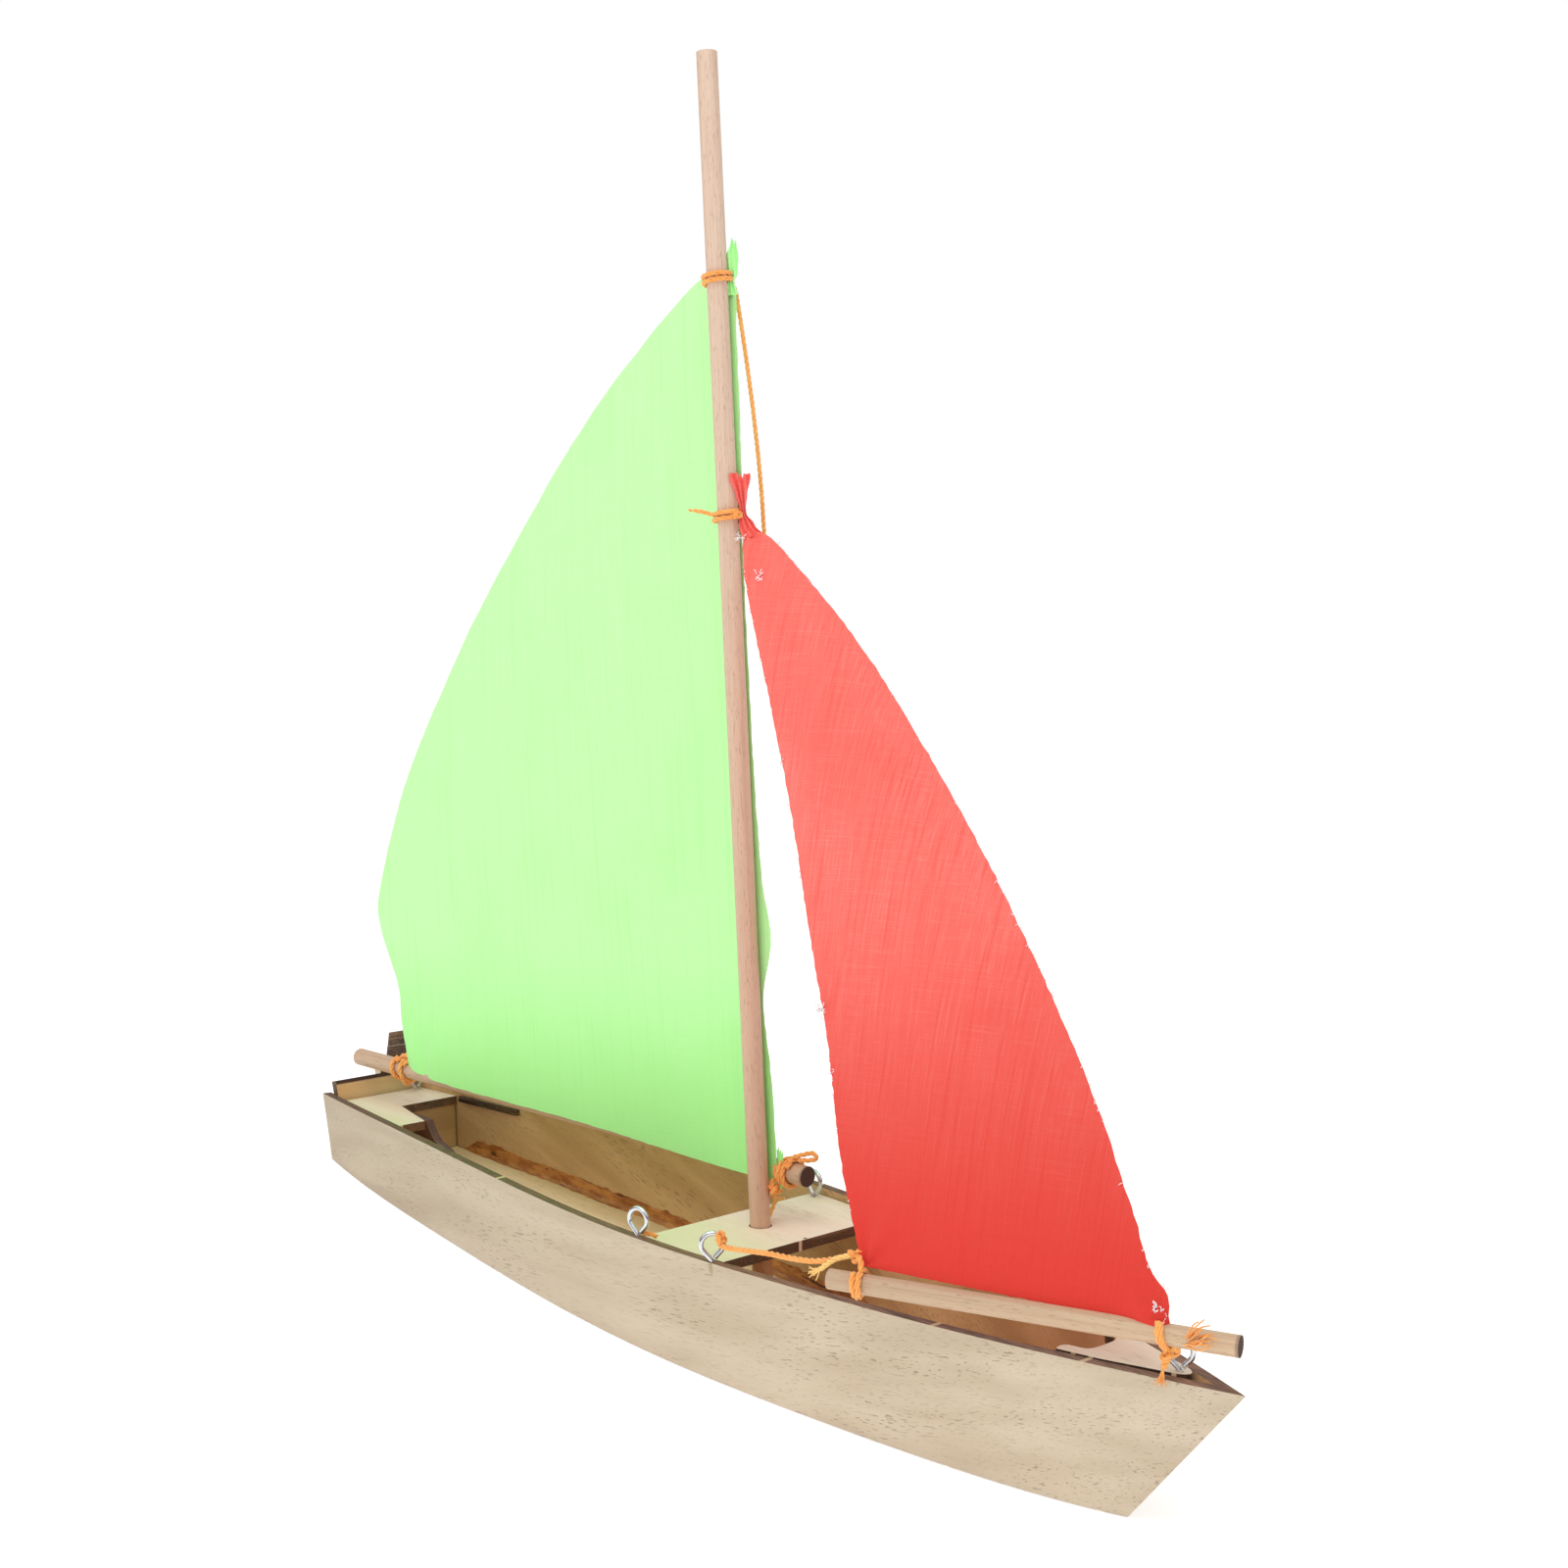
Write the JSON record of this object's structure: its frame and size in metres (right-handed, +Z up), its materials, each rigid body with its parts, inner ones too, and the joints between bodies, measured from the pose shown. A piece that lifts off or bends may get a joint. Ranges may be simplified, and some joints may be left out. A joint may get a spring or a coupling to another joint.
{
  "type": "toy sailing boat",
  "caption": "Plywood toy sailing boat with a flat bottom, dowel mast and booms, cloth mainsail and jib, screw eyes and a small rudder.",
  "frame": {"origin": "on the underside of the flat bottom board, on the centre line, below the mast hole's centre at the thwart's top", "axes": "+X to the bow, +Y to port, +Z up, square to the flat bottom"},
  "size_m": [0.3999, 0.079, 0.3662],
  "materials": {
    "hull_ply": "pale open-grained plywood, sanded, unpainted",
    "deck_ply": "pale plywood, sanded, laser-cut dark edges",
    "dowel": "plain round hardwood dowel, satin",
    "dark_cut": "laser-cut ply edges, charred brown",
    "eye_steel": "bright plated wire",
    "cord": "orange twisted cord",
    "green_cloth": "thin green woven cloth",
    "red_cloth": "thin red woven cloth"
  },
  "bodies": {
    "hull": {"side_panel_starboard": "hull_ply", "side_panel_port": "hull_ply", "bottom_board": "hull_ply", "transom": "deck_ply", "thwart": "deck_ply", "thwart_cleat_starboard": "deck_ply", "thwart_cleat_port": "deck_ply", "mast_step": "deck_ply", "stern_deck": "deck_ply", "stern_frame": "deck_ply", "stern_knee": "dark_cut", "stern_cleat_starboard": "dark_cut", "stern_cleat_port": "dark_cut", "fore_deck": "deck_ply", "fore_frame": "deck_ply", "stem_block": "dark_cut", "mast": "dowel", "mast_foot_cord": "cord", "main_head_lashing": "cord", "jib_head_lashing": "cord", "shroud": "cord", "jib_sheet": "cord", "rudder_gudgeon_lower": "deck_ply", "rudder_gudgeon_upper": "deck_ply", "eye_thwart_rear_starboard": "eye_steel", "eye_thwart_fore_starboard": "eye_steel", "eye_thwart_rear_port": "eye_steel", "eye_thwart_fore_port": "eye_steel", "eye_stern": "eye_steel", "eye_bow": "eye_steel"},
    "main_boom_body": {"main_boom": "dowel", "mainsail": "green_cloth", "boom_clew_lashing": "cord", "boom_tack_lashing": "cord"},
    "jib_boom_body": {"jib_boom": "dowel", "jib": "red_cloth", "jib_clew_lashing": "cord", "jib_tack_lashing": "cord"},
    "rudder": {"rudder_blade": "deck_ply", "rudder_pin": "eye_steel", "tiller": "dark_cut", "tiller_knob_lower": "dark_cut", "tiller_knob_upper": "dark_cut"}
  },
  "joints": [
    {"name": "main_boom_swing", "type": "hinge", "parent": "hull", "child": "main_boom_body", "pos_m": [0, 0, 0.03294], "axis": [-0.1297, 0.0078, 0.9915], "range_deg": [-0.5, 3]},
    {"name": "jib_boom_swing", "type": "hinge", "parent": "hull", "child": "jib_boom_body", "pos_m": [0.15236, -0.001, 0.04839], "axis": [-0.6835, 0.0268, 0.7295], "range_deg": [-31, 15]},
    {"name": "rudder_turn", "type": "hinge", "parent": "hull", "child": "rudder", "pos_m": [-0.21587, 0.0065, 0.00307], "axis": [-0.2924, 0, 0.9563], "range_deg": [-5, 20]}
  ]
}
